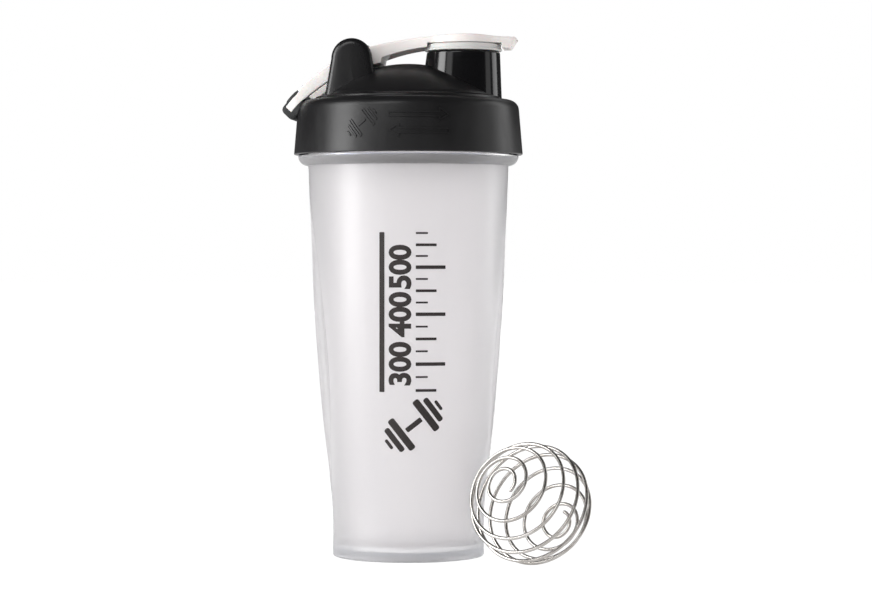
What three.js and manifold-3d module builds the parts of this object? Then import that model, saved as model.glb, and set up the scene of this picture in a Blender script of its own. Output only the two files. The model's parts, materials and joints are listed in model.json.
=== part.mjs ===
// A shaker bottle: a translucent cup, a screw lid with a spout and a hinge, a flip cap with
// its soft plug, a carry loop with its soft grip, and a loose spiral-wire whisk ball.
// Millimetres, +Z up, +X from the cup's axis towards the spout, the origin on that axis at
// the face that the cup stands on.
import * as THREE from "three";
import { mergeVertices } from "three/addons/utils/BufferGeometryUtils.js";
import Module from "manifold-3d";

const wasm = await Module();
wasm.setup();

// ---- driving dimensions ----

const gap = 0.3; // between parts that touch on the real bottle
const sink = 1; // that one shape reaches into another it is joined to
const beyond = 20; // that a cutting shape reaches past what it cuts

// cup
const rimHeight = 195.5;
const footRadius = 33.2;
const neckRadius = 44.2;
const neckHeight = 20.1;
const neckWall = 2;
const cupWall = 1.9;
const floorThickness = 3.5;
const floorCorner = 6;
const footRounding = 1.5;
const footWidth = 3.6;
const footRecess = 1;
const padRadius = 13;
const rimChamfer = 0.6;
const bodyStep = 0.3; // how far the tapered wall stays inside the neck
const collarWidth = 4.1;
const collarRounding = 4.3;
// the taper: the share of the widening that is done at a share of the wall's height
const taper = [[0, 0], [0.13, 0.03], [0.34, 0.41], [0.5, 0.63], [0.65, 0.79], [0.8, 0.88], [1, 1]];

// finger flutes
const gripTurn = 10; // degrees that the flutes stand round from the X axis
const fluteCount = 4;
const fluteStep = 11; // degrees between two flutes at mid height
const fluteBottom = 33;
const fluteTop = 150;
const fluteRadius = 3.2;
const fluteDepth = 0.7;
const fluteGather = 0.4; // share of the spread that is left where the flutes end

// screw thread, two starts
const threadStarts = 2;
const threadLead = 10;
const threadTurns = 0.75;
const threadFoot = 2;
const threadCrest = 1;
const threadHeight = 1.5;
const threadSink = 0.4;
const threadClearance = 0.7;
const threadRise = 6; // from the collar to the start of the cup's thread

// lid
const skirtWall = 1.8;
const skirtLip = 1.9;
const skirtGap = 0.4; // between the collar and the skirt's lower edge
const shoulderRounding = 4.5;
const hollowRounding = 3; // under the shoulder
const leadIn = 2; // height of the skirt's wider mouth
const plateThickness = 1.8;
const domeInset = 8.4; // from the skirt's inner wall to the foot of the dome
const domeRise = 14.1;
const beadHeight = 2;
const beadWidth = 3;
const beadSlope = [0.7, 0.9]; // in and up, from the plate to the foot of the dome

// seal
const sealThickness = 1.6;
const sealWidth = 3.6;
const sealChamfer = 1.2;
const sealGap = 0.4;
const sealInset = 0.6; // of the seal's inner edge, inside the neck's

// spout
const spoutInset = 13.8; // from the foot of the dome to the spout's axis
const spoutFootRadius = 16.9;
const spoutTopRadius = 16;
const spoutRise = 5; // above the dome
const boreRadius = 12;
const boreLand = 8; // height of the narrow bore that the plug fits
const boreWide = 13.6;
const boreStep = 2; // height of the slope between the two bores

// hinge
const hingeInset = 15; // from the foot of the dome to the hinge's axis
const hubRadius = 5.1;
const hubClearance = 0.5;
const hubHalfWidth = 12.3;
const pinRadius = 2.5;
const pinDepth = 2.4;
const ringThickness = 3;
const postThickness = 4.8;
const postRadius = 8.9;
const postFlare = 3.2; // that each side widens down to the post's foot

// flip cap
const headRadius = 15.2;
const headThickness = 4.2;
const armHalfWidth = 11;
const tabHalfWidth = 8.5;
const tabReach = 23.7; // from the spout's axis to the tab's tip
const tabDrop = 7; // from the head's top to the tab's lower edge
const ribReach = 12.4; // from the hinge's axis to the arm's root rib
const topPull = [11, 2]; // how the arm's upper edge leaves the hub
const crownPull = 21; // how it comes level over the spout
const crownBeyond = 2; // and where, from the spout's axis
const underEdge = [0.4, 0.3]; // the arm's under edge beside the disc: out, and down from the head
const underPull = [10.4, 2.1];
const underRise = 0.9; // and its height over the hinge's axis at the rib
const tabEdge = [[6, 1], [1, 1.5], [0, 3]]; // back from the tab's tip, and down from the head's top
const tabFoot = [3, 6.2]; // the ends of its lower edge, back from the tip
const tabRounding = 4; // centre of the tab's round end, back from the tip

// spout plug
const plugDepth = 4.7;
const plugTaper = 0.4;
const plugFlange = 1;
const discHeight = 2;
const discRadius = 16.5;
const stemRadius = 4;
const stemHeight = 1.6;
const plugChamfer = 0.6;

// carry loop and its grip
const loopDrop = 22; // from the hinge's axis down to the loop's end
const loopReach = 1.8; // of the loop's end beyond the skirt
const loopBulge = 3.3;
const loopRootDepth = 3.5; // half depths of the band
const loopEndDepth = 2.25;
const loopBar = 4.6;
const loopCorner = 7;
const loopRoot = 0.05; // shares of the loop's length where the band begins
const slotInset = 1.3; // of the slot's end, inside the skirt's lower edge
const gripStart = 0.74; // share of the loop's length where the grip begins
const gripRecess = 0.7;
const gripProud = 0.3;
const gripUnder = 2.7;
const gripEnd = 2.2;
const gripRoot = 0.7; // thickness of the grip's under side where it begins
const gripRounding = 0.03; // share of the loop's length over which its end turns down

// whisk ball
const ballRadius = 26.3;
const wireRadius = 0.75;
const ballTurns = 9.33;
const ballPhase = -70; // degrees round the ball's axis where the wire begins
const endLoopRadius = 6.2;
const endLoopTurns = 0.55;
const ballPlace = [55.4, -36.3];
const ballAxis = new THREE.Vector3(-0.433, -0.79, 0.43).normalize();

// fineness of the round shapes
const roundSteps = 40;
const smallSteps = 24;
const wireSteps = 168;
const wireSides = 6;

// ---- sizes that follow ----

const collarTop = rimHeight - neckHeight;
const collarRadius = neckRadius + collarWidth;
const bodyTop = collarTop - collarRounding;
const bodyTopRadius = neckRadius - bodyStep;
const lidInner = neckRadius + threadHeight + threadClearance;
const skirtRadius = lidInner + skirtWall;
const skirtFoot = collarTop + skirtGap;
const skirtFootRadius = collarRadius + skirtLip;
const sealBottom = rimHeight + sealGap;
const sealTop = sealBottom + sealThickness;
const plateBottom = sealTop + gap;
const shoulderTop = plateBottom + plateThickness;
const domeRadius = lidInner - domeInset;
const domeFoot = shoulderTop + beadHeight;
const domeTop = domeFoot + domeRise;
const sphereRadius = (domeRadius ** 2 + domeRise ** 2) / (2 * domeRise);
const sphereHeight = domeTop - sphereRadius;
const spoutX = domeRadius - spoutInset;
const spoutTop = domeTop + spoutRise;
const hingeX = hingeInset - domeRadius;
const hingeReach = sphereRadius + hubRadius + hubClearance;
const hingeZ = sphereHeight + Math.sqrt(hingeReach ** 2 - hingeX ** 2);
const ringInner = hubHalfWidth + gap + 0.1;
const ringOuter = ringInner + ringThickness;
const postInner = ringOuter + gap;
const flangeBottom = spoutTop + gap;
const discTop = flangeBottom + plugFlange + discHeight;
const headBottom = discTop + gap;
const headTop = headBottom + headThickness;

// ---- helpers ----

const radians = THREE.MathUtils.degToRad;
const point = (x, y) => new THREE.Vector2(x, y);

// A closed geometry as a solid, with its faces turned out.
function solidOf(geometry) {
  const bare = geometry.index ? geometry.toNonIndexed() : geometry.clone();
  bare.deleteAttribute("normal");
  bare.deleteAttribute("uv");
  const merged = mergeVertices(bare, 1e-4);
  const faces = [];
  const index = merged.index.array;
  for (let i = 0; i < index.length; i += 3) {
    const [a, b, c] = index.slice(i, i + 3);
    if (a !== b && b !== c && c !== a) faces.push(a, b, c);
  }
  const vertProperties = merged.attributes.position.array;
  const make = (list) =>
    new wasm.Manifold(
      new wasm.Mesh({ numProp: 3, vertProperties, triVerts: new Uint32Array(list) }),
    );
  const solid = make(faces);
  return solid.volume() > 0 ? solid : make(faces.reverse());
}

// A solid as a named mesh.
function meshOf(name, solid, material) {
  const made = solid.getMesh();
  const geometry = new THREE.BufferGeometry();
  geometry.setAttribute("position", new THREE.BufferAttribute(made.vertProperties, 3));
  geometry.setIndex(new THREE.BufferAttribute(made.triVerts, 1));
  geometry.computeVertexNormals();
  const mesh = new THREE.Mesh(geometry, material);
  mesh.name = name;
  return mesh;
}

// Points along an arc, angles in degrees.
function arc(x, y, radius, from, to, steps) {
  return Array.from({ length: steps + 1 }, (_, i) => {
    const angle = radians(from + ((to - from) * i) / steps);
    return point(x + radius * Math.cos(angle), y + radius * Math.sin(angle));
  });
}

// A profile of radius and height, turned about the Z axis.
function turned(profile, steps = roundSteps, x = 0) {
  const geometry = new THREE.LatheGeometry(profile, steps);
  geometry.rotateX(Math.PI / 2);
  geometry.translate(x, 0, 0);
  return solidOf(geometry);
}

// A side view in X and Z, as thick as two half widths in Y, centred on y.
function slab(outline, halfWidth, y = 0) {
  const shape = new THREE.Shape(outline);
  const geometry = new THREE.ExtrudeGeometry(shape, { depth: 2 * halfWidth, bevelEnabled: false });
  geometry.translate(0, 0, -halfWidth);
  geometry.rotateX(Math.PI / 2);
  geometry.translate(0, y, 0);
  return solidOf(geometry);
}

// A plan view in X and Y, from one height to another.
function plate(outline, low, high) {
  const shape = new THREE.Shape(outline);
  const geometry = new THREE.ExtrudeGeometry(shape, { depth: high - low, bevelEnabled: false });
  geometry.translate(0, 0, low);
  return solidOf(geometry);
}

// A disc or a pin lying along Y.
function barrel(x, z, radius, halfWidth, y = 0) {
  return slab(arc(x, z, radius, 0, 360, smallSteps).slice(1), halfWidth, y);
}

// A section swept along a path.
function swept(section, path, steps) {
  const shape = new THREE.Shape(section);
  return solidOf(new THREE.ExtrudeGeometry(shape, { steps, extrudePath: path, bevelEnabled: false }));
}

// ---- cup ----

const taperCurve = new THREE.SplineCurve(taper.map(([height, share]) => point(height, share)));
const taperPoints = taperCurve.getSpacedPoints(60);

// The outer radius of the tapered wall at a height.
function wallRadius(z) {
  const height = THREE.MathUtils.clamp((z - footRounding) / (bodyTop - footRounding), 0, 1);
  const next = Math.max(taperPoints.findIndex((p) => p.x >= height - 1e-9), 1);
  const [low, high] = [taperPoints[next - 1], taperPoints[next]];
  const share = low.y + ((high.y - low.y) * (height - low.x)) / (high.x - low.x);
  return footRadius + (bodyTopRadius - footRadius) * share;
}

function wallHeights(from, to, steps) {
  return Array.from({ length: steps + 1 }, (_, i) => from + ((to - from) * i) / steps);
}

// One screw thread on a wall, outwards or inwards, along the shared helix.
function thread(wall, direction, low, start) {
  class Helix extends THREE.Curve {
    getPoint(t, target = new THREE.Vector3()) {
      const angle = start + 2 * Math.PI * threadTurns * t;
      const z = low + threadLead * threadTurns * t;
      return target.set(wall * Math.cos(angle), wall * Math.sin(angle), z);
    }
  }
  const helix = new Helix();
  const steps = Math.round(roundSteps * threadTurns);
  const sections = helix.getSpacedPoints(steps).map((centre) => {
    const out = new THREE.Vector3(centre.x, centre.y, 0).normalize();
    const corner = (radial, height) =>
      centre.clone().addScaledVector(out, direction * radial).add(new THREE.Vector3(0, 0, height));
    return [
      corner(-threadSink, -threadFoot / 2),
      corner(threadHeight, -threadCrest / 2),
      corner(threadHeight, threadCrest / 2),
      corner(-threadSink, threadFoot / 2),
    ];
  });
  return lofted(sections);
}

// Rings of corners joined into one closed solid.
function lofted(sections) {
  const sides = sections[0].length;
  const last = (sections.length - 1) * sides;
  const faces = [];
  for (let i = 0; i < last; i += sides) {
    for (let j = 0; j < sides; j++) {
      const next = (j + 1) % sides;
      faces.push(i + j, i + next, i + sides + next);
      faces.push(i + j, i + sides + next, i + sides + j);
    }
  }
  for (let j = 1; j < sides - 1; j++) {
    faces.push(0, j + 1, j);
    faces.push(last, last + j, last + j + 1);
  }
  const geometry = new THREE.BufferGeometry().setFromPoints(sections.flat());
  geometry.setIndex(faces);
  return solidOf(geometry);
}

// All the starts of a thread.
function threads(wall, direction, low) {
  return Array.from({ length: threadStarts }, (_, i) =>
    thread(wall, direction, low, (2 * Math.PI * i) / threadStarts),
  );
}

// A long round cutter that follows the wall and leaves it at both ends.
function fluteCutter(side, place) {
  const steps = 8;
  const points = wallHeights(fluteBottom, fluteTop, steps).map((z, i) => {
    const share = Math.sin((Math.PI * i) / steps);
    const turn = place * fluteStep * THREE.MathUtils.lerp(fluteGather, 1, share);
    const angle = radians(side + gripTurn + turn);
    const radius = wallRadius(z) + fluteRadius - fluteDepth * (2 * share - 1);
    return new THREE.Vector3(radius * Math.cos(angle), radius * Math.sin(angle), z);
  });
  return swept(arc(0, 0, fluteRadius, 0, 360, 8).slice(1), new THREE.CatmullRomCurve3(points), steps);
}

function buildCup() {
  const footInner = footRadius - footRounding - footWidth;
  const inside = neckRadius - neckWall;
  const innerFoot = floorThickness + floorCorner;
  const floorRadius = wallRadius(innerFoot) - cupWall;
  const outline = [
    point(0, 0),
    point(padRadius, 0),
    point(padRadius + footRecess, footRecess),
    point(footInner - footRecess, footRecess),
    point(footInner, 0),
    ...arc(footRadius - footRounding, footRounding, footRounding, -90, 0, 2),
    ...wallHeights(footRounding, bodyTop, 11).slice(1).map((z) => point(wallRadius(z), z)),
    ...arc(collarRadius - collarRounding, collarTop, collarRounding, -90, 0, 4),
    point(neckRadius, collarTop),
    point(neckRadius, rimHeight - rimChamfer),
    point(neckRadius - rimChamfer, rimHeight),
    point(inside + rimChamfer, rimHeight),
    point(inside, rimHeight - rimChamfer),
    point(inside, collarTop),
    ...wallHeights(bodyTop, innerFoot, 8).map((z) => point(wallRadius(z) - cupWall, z)),
    ...arc(floorRadius - floorCorner, innerFoot, floorCorner, 0, -90, 3).slice(1),
    point(0, floorThickness),
  ];
  let cup = turned(outline);
  for (const side of [0, 180]) {
    for (let i = 0; i < fluteCount; i++) {
      cup = cup.subtract(fluteCutter(side, i - (fluteCount - 1) / 2));
    }
  }
  for (const ridge of threads(neckRadius, 1, collarTop + threadRise)) cup = cup.add(ridge);
  return cup;
}

// ---- lid ----

// The lid's outer skin, as a solid body grown by a margin.
function lidBody(margin = 0) {
  const bead = domeRadius + beadWidth;
  const foot = Math.asin(domeRadius / sphereRadius);
  const shoulder = skirtRadius - shoulderRounding;
  const rounding = shoulderRounding + margin;
  return turned([
    point(0, skirtFoot - margin),
    point(skirtFootRadius + margin, skirtFoot - margin),
    ...arc(shoulder, shoulderTop - shoulderRounding, rounding, 0, 90, 5),
    point(bead, shoulderTop + margin),
    point(bead - beadSlope[0], shoulderTop + beadSlope[1] + margin),
    ...domeArc(sphereRadius + margin, foot, 7),
  ]);
}

// An arc about the dome's centre, from an angle at its foot up to the axis.
function domeArc(radius, foot, steps) {
  return wallHeights(foot, 0, steps).map((angle) =>
    point(radius * Math.sin(angle), sphereHeight + radius * Math.cos(angle)),
  );
}

// The hollow under the lid's skin.
function lidHollow() {
  const roof = sphereRadius - plateThickness;
  const foot = Math.asin((domeRadius - plateThickness) / roof);
  const mouth = collarRadius - gap;
  return turned([
    point(0, skirtFoot - sink),
    point(mouth, skirtFoot - sink),
    point(mouth, skirtFoot),
    point(lidInner, skirtFoot + leadIn),
    ...arc(lidInner - hollowRounding, plateBottom - hollowRounding, hollowRounding, 0, 90, 3),
    point(domeRadius - plateThickness + sink, plateBottom),
    ...domeArc(roof, foot, 6),
  ]);
}

// The rounded upright beside the hinge, seen from the side.
function postOutline() {
  const foot = shoulderTop - sink;
  const flare = Math.atan2(postFlare, hingeZ - foot) * (180 / Math.PI);
  return [
    point(hingeX - postRadius - postFlare, foot),
    point(hingeX + postRadius + postFlare, foot),
    ...arc(hingeX, hingeZ, postRadius, flare, 180 - flare, 10),
  ];
}

function buildLid() {
  const spout = turned(
    [
      point(0, shoulderTop - sink),
      point(spoutFootRadius, shoulderTop - sink),
      point(spoutTopRadius, spoutTop),
      point(0, spoutTop),
    ],
    roundSteps,
    spoutX,
  );
  const bore = turned(
    [
      point(0, plateBottom),
      point(boreWide, plateBottom),
      point(boreWide, spoutTop - boreLand - boreStep),
      point(boreRadius, spoutTop - boreLand),
      point(boreRadius, spoutTop + sink),
      point(0, spoutTop + sink),
    ],
    roundSteps,
    spoutX,
  );
  let lid = lidBody().add(spout);
  for (const side of [-1, 1]) {
    lid = lid.add(slab(postOutline(), postThickness / 2, side * (postInner + postThickness / 2)));
  }
  lid = lid.subtract(lidHollow()).subtract(bore);
  lid = lid.subtract(barrel(hingeX, hingeZ, pinRadius + gap, postInner + pinDepth + gap));
  for (const ridge of threads(lidInner, -1, collarTop + threadRise - threadLead / threadStarts / 2)) {
    lid = lid.add(ridge);
  }
  return lid;
}

function buildSeal() {
  const inner = neckRadius - neckWall - sealInset;
  const outer = inner + sealWidth;
  const outline = [
    point(inner, sealBottom),
    point(outer, sealBottom),
    point(outer, sealTop - sealChamfer),
    point(outer - sealChamfer, sealTop),
    point(inner, sealTop),
    point(inner, sealBottom),
  ];
  return turned(outline);
}

// ---- flip cap and plug ----

// The arm, the head and the tab, seen from the side.
function capOutline(tip) {
  const root = point(hingeX, hingeZ + hubRadius);
  const crown = point(spoutX + crownBeyond, headTop);
  const top = new THREE.CubicBezierCurve(
    root,
    point(root.x + topPull[0], root.y + topPull[1]),
    point(crown.x - crownPull, headTop),
    crown,
  );
  const edge = spoutX - discRadius;
  const under = new THREE.QuadraticBezierCurve(
    point(edge - gap - underEdge[0], headBottom - underEdge[1]),
    point(edge - underPull[0], headBottom - underPull[1]),
    point(hingeX + ribReach, hingeZ + underRise),
  );
  const overDome = (x) =>
    point(x, sphereHeight + Math.sqrt((sphereRadius + hubClearance) ** 2 - x ** 2) + gap);
  return [
    ...top.getPoints(10),
    ...tabEdge.map(([back, down]) => point(tip - back, headTop - down)),
    ...tabFoot.map((back) => point(tip - back, headTop - tabDrop)),
    point(spoutX + discRadius + gap, headBottom),
    point(edge - gap, headBottom),
    ...under.getPoints(7),
    overDome(hingeX + ribReach),
    overDome(hingeX + hubRadius),
  ].reverse();
}

// The same, seen from above.
function capPlan(tip) {
  const [low, high] = [domeTop - beyond, headTop + beyond];
  const strap = [
    point(hingeX, -armHalfWidth),
    point(spoutX, -armHalfWidth),
    point(spoutX, armHalfWidth),
    point(hingeX, armHalfWidth),
  ];
  const tab = [
    point(spoutX, -tabHalfWidth),
    ...arc(tip - tabRounding, 0, tabHalfWidth, -90, 90, 8),
    point(spoutX, tabHalfWidth),
  ];
  const head = arc(spoutX, 0, headRadius, 0, 360, 32).slice(1);
  return plate(strap, low, high).add(plate(head, low, high)).add(plate(tab, low, high));
}

function buildFlipCap() {
  const tip = spoutX + tabReach;
  let cap = slab(capOutline(tip), headRadius + sink).intersect(capPlan(tip));
  cap = cap.add(barrel(hingeX, hingeZ, hubRadius, hubHalfWidth));
  cap = cap.add(barrel(hingeX, hingeZ, pinRadius, postInner + pinDepth));
  const socket = [
    point(0, headBottom - sink),
    point(stemRadius + gap, headBottom - sink),
    point(stemRadius + gap, headBottom + stemHeight),
    point(0, headBottom + stemHeight),
  ];
  return cap.subtract(turned(socket, smallSteps, spoutX));
}

function buildPlug() {
  const plugRadius = boreRadius - plugTaper;
  const outline = [
    point(0, spoutTop - plugDepth),
    point(plugRadius - plugTaper - plugChamfer, spoutTop - plugDepth),
    point(plugRadius - plugTaper, spoutTop - plugDepth + plugChamfer),
    point(plugRadius, flangeBottom),
    point(discRadius + plugTaper, flangeBottom),
    point(discRadius + plugTaper, flangeBottom + plugFlange),
    point(discRadius, flangeBottom + plugFlange),
    point(discRadius, discTop - plugChamfer),
    point(discRadius - plugChamfer, discTop),
    point(stemRadius, discTop),
    point(stemRadius, discTop + stemHeight),
    point(0, discTop + stemHeight),
  ];
  return turned(outline, roundSteps, spoutX);
}

// ---- carry loop and grip ----

const loopStart = point(hingeX, hingeZ);
const loopTip = point(-skirtFootRadius - loopReach, hingeZ - loopDrop);
const loopLine = loopTip.clone().sub(loopStart);
const loopAcross = point(loopLine.y, -loopLine.x).normalize();
const loopPull = loopStart.clone().lerp(loopTip, 0.5).addScaledVector(loopAcross, loopBulge);
const loopCurve = new THREE.QuadraticBezierCurve(loopStart, loopPull, loopTip);
const loopLength = loopCurve.getLength();

// Points beside the loop's centre line: side 1 is above it, -1 below.
function beside(from, to, side, depth, steps = 8) {
  return wallHeights(from, to, steps).map((t) => {
    const along = loopCurve.getTangent(Math.min(t, 1));
    const past = Math.max(t - 1, 0) * loopLength;
    const centre = loopCurve.getPoint(Math.min(t, 1)).addScaledVector(along, past);
    const half = THREE.MathUtils.lerp(loopRootDepth, loopEndDepth, t) + depth(t);
    return centre.addScaledVector(point(along.y, -along.x), side * half);
  });
}

function loopOutline(grown) {
  const step = gripStart + grown / loopLength;
  const end = 1 + grown / loopLength;
  return [
    ...beside(loopRoot, step, 1, () => grown),
    ...beside(step + 0.001, end, 1, () => grown - gripRecess),
    ...beside(end, loopRoot, -1, () => grown, 12),
  ];
}

function gripOutline() {
  const start = gripStart + gap / loopLength;
  const end = 1 + gripEnd / loopLength;
  const under = (t) => THREE.MathUtils.mapLinear(Math.min(t, 1), start, 1, gripRoot, gripUnder);
  return [
    ...beside(start, end - gripRounding, 1, () => gripProud),
    ...beside(end, end, -1, () => -loopEndDepth, 1).slice(1),
    ...beside(end, start, -1, under),
  ];
}

// The loop's plan: the band's outer edge, and the slot between its legs.
function loopPlan(halfWidth, end, corner) {
  const right = hingeX + beyond;
  return plate(
    [
      point(right, -halfWidth),
      point(right, halfWidth),
      ...arc(end + corner, halfWidth - corner, corner, 90, 180, 6),
      ...arc(end + corner, corner - halfWidth, corner, 180, 270, 6),
    ],
    loopTip.y - beyond,
    headTop + beyond,
  );
}

// The part of a side view that lies in the band and clear of the lid, without the slivers that
// the cuts leave.
function loopBand(solid) {
  const slotEnd = slotInset - skirtFootRadius;
  const bodies = solid
    .intersect(loopPlan(ringOuter, slotEnd - loopBar - gripEnd - sink, loopCorner))
    .subtract(loopPlan(ringInner, slotEnd, loopCorner - ringThickness))
    .subtract(lidBody(2 * gap))
    .decompose();
  return bodies.sort((a, b) => b.volume() - a.volume())[0];
}

function buildLoop() {
  let loop = slab(loopOutline(0), ringOuter).add(barrel(hingeX, hingeZ, hubRadius, ringOuter));
  loop = loopBand(loop);
  return loop.subtract(barrel(hingeX, hingeZ, pinRadius + gap, ringOuter + sink));
}

function buildGrip() {
  return loopBand(slab(gripOutline(), ringOuter).subtract(slab(loopOutline(gap), ringOuter + sink)));
}

// ---- whisk ball ----

// The wire: a small loop about each pole, and a spiral from one to the other.
class BallWire extends THREE.Curve {
  getPoint(t, target = new THREE.Vector3()) {
    const turns = ballTurns * t;
    const reach = ballRadius - wireRadius;
    const cap = Math.asin(endLoopRadius / reach);
    const share = THREE.MathUtils.clamp((turns - endLoopTurns) / (ballTurns - 2 * endLoopTurns), 0, 1);
    const polar = cap + (Math.PI - 2 * cap) * share;
    const angle = radians(ballPhase) + 2 * Math.PI * turns;
    return target.set(
      reach * Math.sin(polar) * Math.cos(angle),
      reach * Math.sin(polar) * Math.sin(angle),
      reach * Math.cos(polar),
    );
  }
}

function buildBall() {
  const section = new THREE.Shape(arc(0, 0, wireRadius, 0, 360, wireSides).slice(1));
  const geometry = new THREE.ExtrudeGeometry(section, {
    steps: wireSteps,
    extrudePath: new BallWire(),
    bevelEnabled: false,
  });
  const up = new THREE.Vector3(0, 0, 1);
  geometry.applyQuaternion(new THREE.Quaternion().setFromUnitVectors(up, ballAxis));
  geometry.translate(ballPlace[0], ballPlace[1], ballRadius);
  return solidOf(geometry);
}

// ---- materials and the bottle ----

const plastic = (color, roughness, more = {}) =>
  new THREE.MeshStandardMaterial({ color, roughness, metalness: 0, ...more });

const frosted = plastic(0xc3d0db, 0.42, { transparent: true, opacity: 0.5 });
const black = plastic(0x161617, 0.45);
const warmWhite = plastic(0xe9e1d9, 0.4);
const coolWhite = plastic(0xd9dadb, 0.5);
const softBlack = plastic(0x1c1c1d, 0.8);
const steel = new THREE.MeshStandardMaterial({ color: 0xb9b7b4, roughness: 0.22, metalness: 1 });

const bottle = new THREE.Group();
bottle.add(
  meshOf("cup_body", buildCup(), frosted),
  meshOf("lid_seal", buildSeal(), softBlack),
  meshOf("lid_shell", buildLid(), black),
  meshOf("flip_cap", buildFlipCap(), warmWhite),
  meshOf("spout_plug", buildPlug(), coolWhite),
  meshOf("carry_loop", buildLoop(), warmWhite),
  meshOf("loop_grip", buildGrip(), softBlack),
  meshOf("whisk_ball", buildBall(), steel),
);

export default bottle;
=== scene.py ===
import bisect
import json
import math

import bmesh
import bpy
from mathutils import Matrix, Vector


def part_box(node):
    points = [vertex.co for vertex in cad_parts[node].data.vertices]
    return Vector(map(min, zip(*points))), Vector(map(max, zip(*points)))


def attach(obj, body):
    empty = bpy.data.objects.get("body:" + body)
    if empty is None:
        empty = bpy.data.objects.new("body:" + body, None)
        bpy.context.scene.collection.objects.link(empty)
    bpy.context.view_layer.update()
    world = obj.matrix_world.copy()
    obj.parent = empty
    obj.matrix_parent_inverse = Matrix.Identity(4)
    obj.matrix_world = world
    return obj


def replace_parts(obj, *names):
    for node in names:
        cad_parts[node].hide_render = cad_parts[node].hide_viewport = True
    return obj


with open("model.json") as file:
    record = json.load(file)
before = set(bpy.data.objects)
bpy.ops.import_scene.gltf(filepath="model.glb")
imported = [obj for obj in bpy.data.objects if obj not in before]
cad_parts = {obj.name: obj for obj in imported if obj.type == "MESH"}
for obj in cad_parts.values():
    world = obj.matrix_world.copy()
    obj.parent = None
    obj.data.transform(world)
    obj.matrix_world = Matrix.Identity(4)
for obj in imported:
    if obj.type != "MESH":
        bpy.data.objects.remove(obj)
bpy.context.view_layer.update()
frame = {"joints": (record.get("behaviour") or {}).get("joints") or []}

mm = 0.001               # shapes are worked out in millimetres, and made in metres

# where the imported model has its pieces


def boxOf(node):
    low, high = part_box(node)
    return low / mm, high / mm


def jointAt(name):
    joint = next(j for j in frame["joints"] if j["name"] == name)
    return Vector(joint["pos_m"]) / mm


cupLow, cupHigh = boxOf("cup_body")
lidLow, lidHigh = boxOf("lid_shell")
sealLow, sealHigh = boxOf("lid_seal")
capLow, capHigh = boxOf("flip_cap")
plugLow, plugHigh = boxOf("spout_plug")
ballLow, ballHigh = boxOf("whisk_ball")
hinge = jointAt("flip_open")
spoutX = (plugLow.x + plugHigh.x) / 2


# ---- camera ----

camera = {
    "lens": 113.1, "sensor": 36, "azimuth": 5, "tilt": -0.92,
    "distance": 1204, "height": 131.5, "side": 12.1,
}
sight = math.radians(camera["azimuth"])
rightward = Vector((math.cos(sight), math.sin(sight), 0))
forward = Vector((-math.sin(sight), math.cos(sight), 0))


def makeCamera():
    data = bpy.data.cameras.new("camera")
    data.lens = camera["lens"]
    data.sensor_width = camera["sensor"]
    data.clip_start = 0.01
    made = bpy.data.objects.new("camera", data)
    bpy.context.scene.collection.objects.link(made)
    place = rightward * camera["side"] - forward * camera["distance"] + Vector((0, 0, camera["height"]))
    made.location = place * mm
    made.rotation_euler = (math.radians(90 + camera["tilt"]), 0, sight)
    bpy.context.scene.camera = made


makeCamera()
print("camera is in place")


# ---- shader maths ----


class Shade:
    # a node socket that can be added, multiplied and mixed like a number
    def __init__(self, tree, socket=None):
        self.tree = tree
        self.socket = socket

    def make(self, kind, settings=None, values=None, output=0):
        node = self.tree.nodes.new(kind)
        for name, value in (settings or {}).items():
            if name == "stops":
                self.setStops(node.color_ramp, value)
            else:
                setattr(node, name, value)
        for key, value in (values or {}).items():
            if isinstance(value, Shade):
                self.tree.links.new(value.socket, node.inputs[key])
            else:
                node.inputs[key].default_value = value
        return Shade(self.tree, node.outputs[output] if len(node.outputs) else None)

    @staticmethod
    def setStops(ramp, stops):
        while len(ramp.elements) < len(stops):
            ramp.elements.new(0.5)
        for element, (position, level) in zip(ramp.elements, stops):
            element.position = position
            element.color = (level, level, level, 1)

    def maths(self, operation, *values):
        return self.make("ShaderNodeMath", {"operation": operation}, dict(enumerate(values)))

    def __add__(self, other):
        return self.maths("ADD", self, other)

    __radd__ = __add__

    def __mul__(self, other):
        return self.maths("MULTIPLY", self, other)

    __rmul__ = __mul__

    def __sub__(self, other):
        return self.maths("SUBTRACT", self, other)

    def __rsub__(self, other):
        return self.maths("SUBTRACT", other, self)

    def between(self, low, high, toLow=0.0, toHigh=1.0):
        return self.make("ShaderNodeMapRange", {"clamp": True}, {0: self, 1: low, 2: high, 3: toLow, 4: toHigh})

    def mixColour(self, low, high):
        # this value picks between two colours
        return self.make(
            "ShaderNodeMix", {"data_type": "RGBA"},
            {0: self, 6: colourOf(low), 7: colourOf(high)}, output=2,
        )


def colourOf(value):
    return value if isinstance(value, Shade) else (*value, 1)


def newMaterial(name):
    material = bpy.data.materials.new(name)
    material.use_nodes = True
    material.node_tree.nodes.clear()
    shade = Shade(material.node_tree)
    place = shade.make("ShaderNodeTexCoord", output=3)
    return material, shade, place


def noise(shade, place, scale, detail=3.0, stretch=None):
    if stretch:
        place = shade.make("ShaderNodeMapping", {}, {0: place, 3: stretch})
    return shade.make("ShaderNodeTexNoise", {}, {"Vector": place, "Scale": scale, "Detail": detail}, output=0)


def bumped(shade, height, depth, strength=1.0, normal=None):
    values = {"Strength": strength, "Distance": depth, "Height": height}
    if normal:
        values["Normal"] = normal
    return shade.make("ShaderNodeBump", {}, values)


def finishMaterial(material, shade, values, volume=None):
    surface = shade.make("ShaderNodeBsdfPrincipled", {}, values)
    shade.make("ShaderNodeOutputMaterial", {}, {0: surface, 1: volume} if volume else {0: surface})
    return material


# ---- materials ----

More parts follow.
